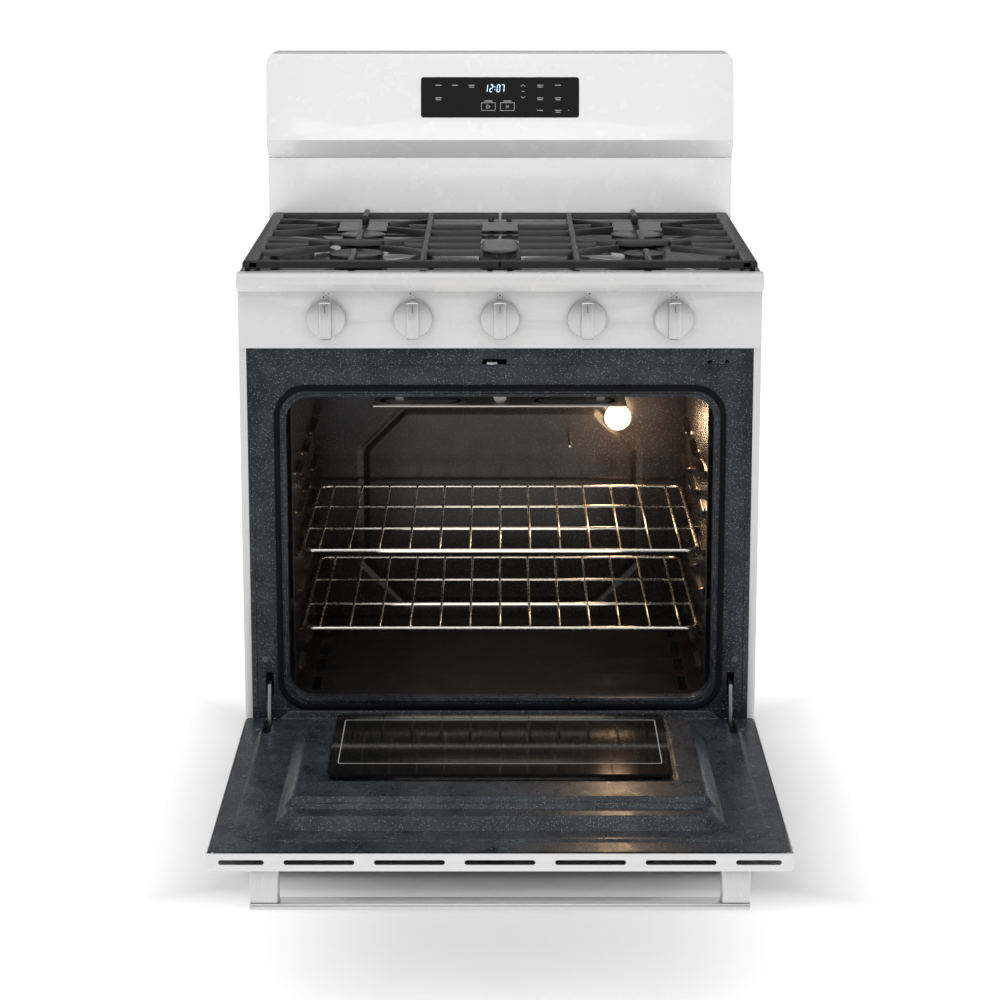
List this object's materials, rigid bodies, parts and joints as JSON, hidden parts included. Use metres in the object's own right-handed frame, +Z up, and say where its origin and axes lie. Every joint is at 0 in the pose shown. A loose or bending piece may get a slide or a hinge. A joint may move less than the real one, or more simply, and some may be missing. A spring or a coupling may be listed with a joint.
{
  "type": "freestanding gas range",
  "caption": "White freestanding gas range with an open drop-down oven door, sliding racks, cast grates over the burners, turning knobs and a touch backguard.",
  "frame": {"origin": "on the floor, in the middle of the range's bounding box with the oven door open", "axes": "+Z up, the front and the open door towards -Y, +X to the right of someone facing the front"},
  "size_m": [0.7588, 1.227, 1.187],
  "materials": {
    "white_enamel": "smooth gloss white enamel",
    "porcelain": "dark blue-grey porcelain enamel with fine pale specks",
    "black_enamel": "gloss black enamel",
    "cast_iron": "matte black coated cast iron",
    "brushed_stainless": "brushed satin",
    "chrome_wire": "bright plated wire",
    "zinc_steel": "zinc-coated sheet, satin",
    "burner_alloy": "cast, matte",
    "brass": "machined",
    "probe_steel": "drawn",
    "cream_enamel": "matte cream enamel",
    "lamp_glass": "frosted warm glass",
    "black_glass": "black-backed glass",
    "window_glass": "tinted clear glass",
    "gasket_braid": "braided glass-fibre seal",
    "rubber": "matte"
  },
  "bodies": {
    "root": {"side_panel_left": "white_enamel", "side_panel_right": "white_enamel", "rear_panel": "zinc_steel", "base_frame": "zinc_steel", "foot_front_left": "rubber", "foot_front_right": "rubber", "foot_rear_left": "rubber", "foot_rear_right": "rubber", "oven_front_frame": "porcelain", "oven_gasket": "gasket_braid", "oven_wrapper": "porcelain", "oven_back_wall": "porcelain", "oven_floor_panel": "porcelain", "broil_burner": "cream_enamel", "bake_burner": "zinc_steel", "oven_lamp": "lamp_glass", "temperature_probe": "probe_steel", "cooktop_pan": "black_enamel", "front_trim_rail": "white_enamel", "control_panel": "white_enamel", "backguard_splash": "white_enamel", "backguard_console": "white_enamel", "control_glass": "black_glass", "gas_manifold": "zinc_steel", "hinge_arm_left": "zinc_steel", "hinge_arm_right": "zinc_steel", "burner_head_front_left": "burner_alloy", "burner_head_rear_left": "burner_alloy", "burner_head_centre": "burner_alloy", "burner_head_rear_right": "burner_alloy", "burner_head_front_right": "burner_alloy"},
    "door": {"door_outer_panel": "white_enamel", "door_inner_panel": "porcelain", "door_inner_glass": "window_glass", "door_outer_glass": "black_glass", "door_handle_bar": "brushed_stainless", "door_handle_post_left": "brushed_stainless", "door_handle_post_right": "brushed_stainless"},
    "latch": {"latch_hook": "zinc_steel"},
    "drawer": {"drawer_front": "white_enamel", "drawer_box": "zinc_steel"},
    "rack_upper": {"rack_upper": "chrome_wire"},
    "rack_lower": {"rack_lower": "chrome_wire"},
    "grate_left": {"grate_left": "cast_iron"},
    "grate_right": {"grate_right": "cast_iron"},
    "burner_cap_front_left": {"burner_cap_front_left": "black_enamel"},
    "burner_cap_rear_left": {"burner_cap_rear_left": "black_enamel"},
    "burner_cap_centre": {"burner_cap_centre": "black_enamel"},
    "burner_cap_rear_right": {"burner_cap_rear_right": "black_enamel"},
    "burner_cap_front_right": {"burner_cap_front_right": "black_enamel"},
    "valve_rotor_1": {"valve_rotor_1": "brass"},
    "knob_1": {"knob_1": "brushed_stainless"},
    "valve_rotor_2": {"valve_rotor_2": "brass"},
    "knob_2": {"knob_2": "brushed_stainless"},
    "valve_rotor_3": {"valve_rotor_3": "brass"},
    "knob_3": {"knob_3": "brushed_stainless"},
    "valve_rotor_4": {"valve_rotor_4": "brass"},
    "knob_4": {"knob_4": "brushed_stainless"},
    "valve_rotor_5": {"valve_rotor_5": "brass"},
    "knob_5": {"knob_5": "brushed_stainless"}
  },
  "joints": [
    {"name": "door_hinge", "type": "hinge", "parent": "root", "child": "door", "pos_m": [0, -0.0555, 0.24], "axis": [1, 0, 0], "range_deg": [-90, 0]},
    {"name": "latch_swing", "type": "hinge", "parent": "root", "child": "latch", "pos_m": [-0.015, -0.0065, 0.784], "axis": [0, 0, 1], "range_deg": [0, 12]},
    {"name": "drawer_slide", "type": "slide", "parent": "root", "child": "drawer", "axis": [0, -1, 0], "range_m": [0, 0.33]},
    {"name": "rack_upper_slide", "type": "slide", "parent": "root", "child": "rack_upper", "axis": [0, -1, 0], "range_m": [0, 0.24]},
    {"name": "rack_lower_slide", "type": "slide", "parent": "root", "child": "rack_lower", "axis": [0, -1, 0], "range_m": [0, 0.24]},
    {"name": "grate_left_lift", "type": "slide", "parent": "root", "child": "grate_left", "axis": [0, 0, 1], "range_m": [0, 0.05]},
    {"name": "grate_right_lift", "type": "slide", "parent": "root", "child": "grate_right", "axis": [0, 0, 1], "range_m": [0, 0.05]},
    {"name": "burner_cap_front_left_lift", "type": "slide", "parent": "root", "child": "burner_cap_front_left", "axis": [0, 0, 1], "range_m": [0, 0.004]},
    {"name": "burner_cap_rear_left_lift", "type": "slide", "parent": "root", "child": "burner_cap_rear_left", "axis": [0, 0, 1], "range_m": [0, 0.004]},
    {"name": "burner_cap_centre_lift", "type": "slide", "parent": "root", "child": "burner_cap_centre", "axis": [0, 0, 1], "range_m": [0, 0.004]},
    {"name": "burner_cap_rear_right_lift", "type": "slide", "parent": "root", "child": "burner_cap_rear_right", "axis": [0, 0, 1], "range_m": [0, 0.004]},
    {"name": "burner_cap_front_right_lift", "type": "slide", "parent": "root", "child": "burner_cap_front_right", "axis": [0, 0, 1], "range_m": [0, 0.004]},
    {"name": "knob_1_turn", "type": "hinge", "parent": "root", "child": "valve_rotor_1", "pos_m": [-0.251, -0.0415, 0.849], "axis": [0, -1, 0], "range_deg": [0, 210]},
    {"name": "knob_1_push", "type": "slide", "parent": "valve_rotor_1", "child": "knob_1", "axis": [0, 1, 0], "range_m": [0, 0.004], "stiffness_N_per_m": 900, "springref_m": -0.002},
    {"name": "knob_2_turn", "type": "hinge", "parent": "root", "child": "valve_rotor_2", "pos_m": [-0.1255, -0.0415, 0.849], "axis": [0, -1, 0], "range_deg": [0, 210]},
    {"name": "knob_2_push", "type": "slide", "parent": "valve_rotor_2", "child": "knob_2", "axis": [0, 1, 0], "range_m": [0, 0.004], "stiffness_N_per_m": 900, "springref_m": -0.002},
    {"name": "knob_3_turn", "type": "hinge", "parent": "root", "child": "valve_rotor_3", "pos_m": [0, -0.0415, 0.849], "axis": [0, -1, 0], "range_deg": [0, 210]},
    {"name": "knob_3_push", "type": "slide", "parent": "valve_rotor_3", "child": "knob_3", "axis": [0, 1, 0], "range_m": [0, 0.004], "stiffness_N_per_m": 900, "springref_m": -0.002},
    {"name": "knob_4_turn", "type": "hinge", "parent": "root", "child": "valve_rotor_4", "pos_m": [0.1255, -0.0415, 0.849], "axis": [0, -1, 0], "range_deg": [0, 210]},
    {"name": "knob_4_push", "type": "slide", "parent": "valve_rotor_4", "child": "knob_4", "axis": [0, 1, 0], "range_m": [0, 0.004], "stiffness_N_per_m": 900, "springref_m": -0.002},
    {"name": "knob_5_turn", "type": "hinge", "parent": "root", "child": "valve_rotor_5", "pos_m": [0.251, -0.0415, 0.849], "axis": [0, -1, 0], "range_deg": [0, 210]},
    {"name": "knob_5_push", "type": "slide", "parent": "valve_rotor_5", "child": "knob_5", "axis": [0, 1, 0], "range_m": [0, 0.004], "stiffness_N_per_m": 900, "springref_m": -0.002}
  ]
}
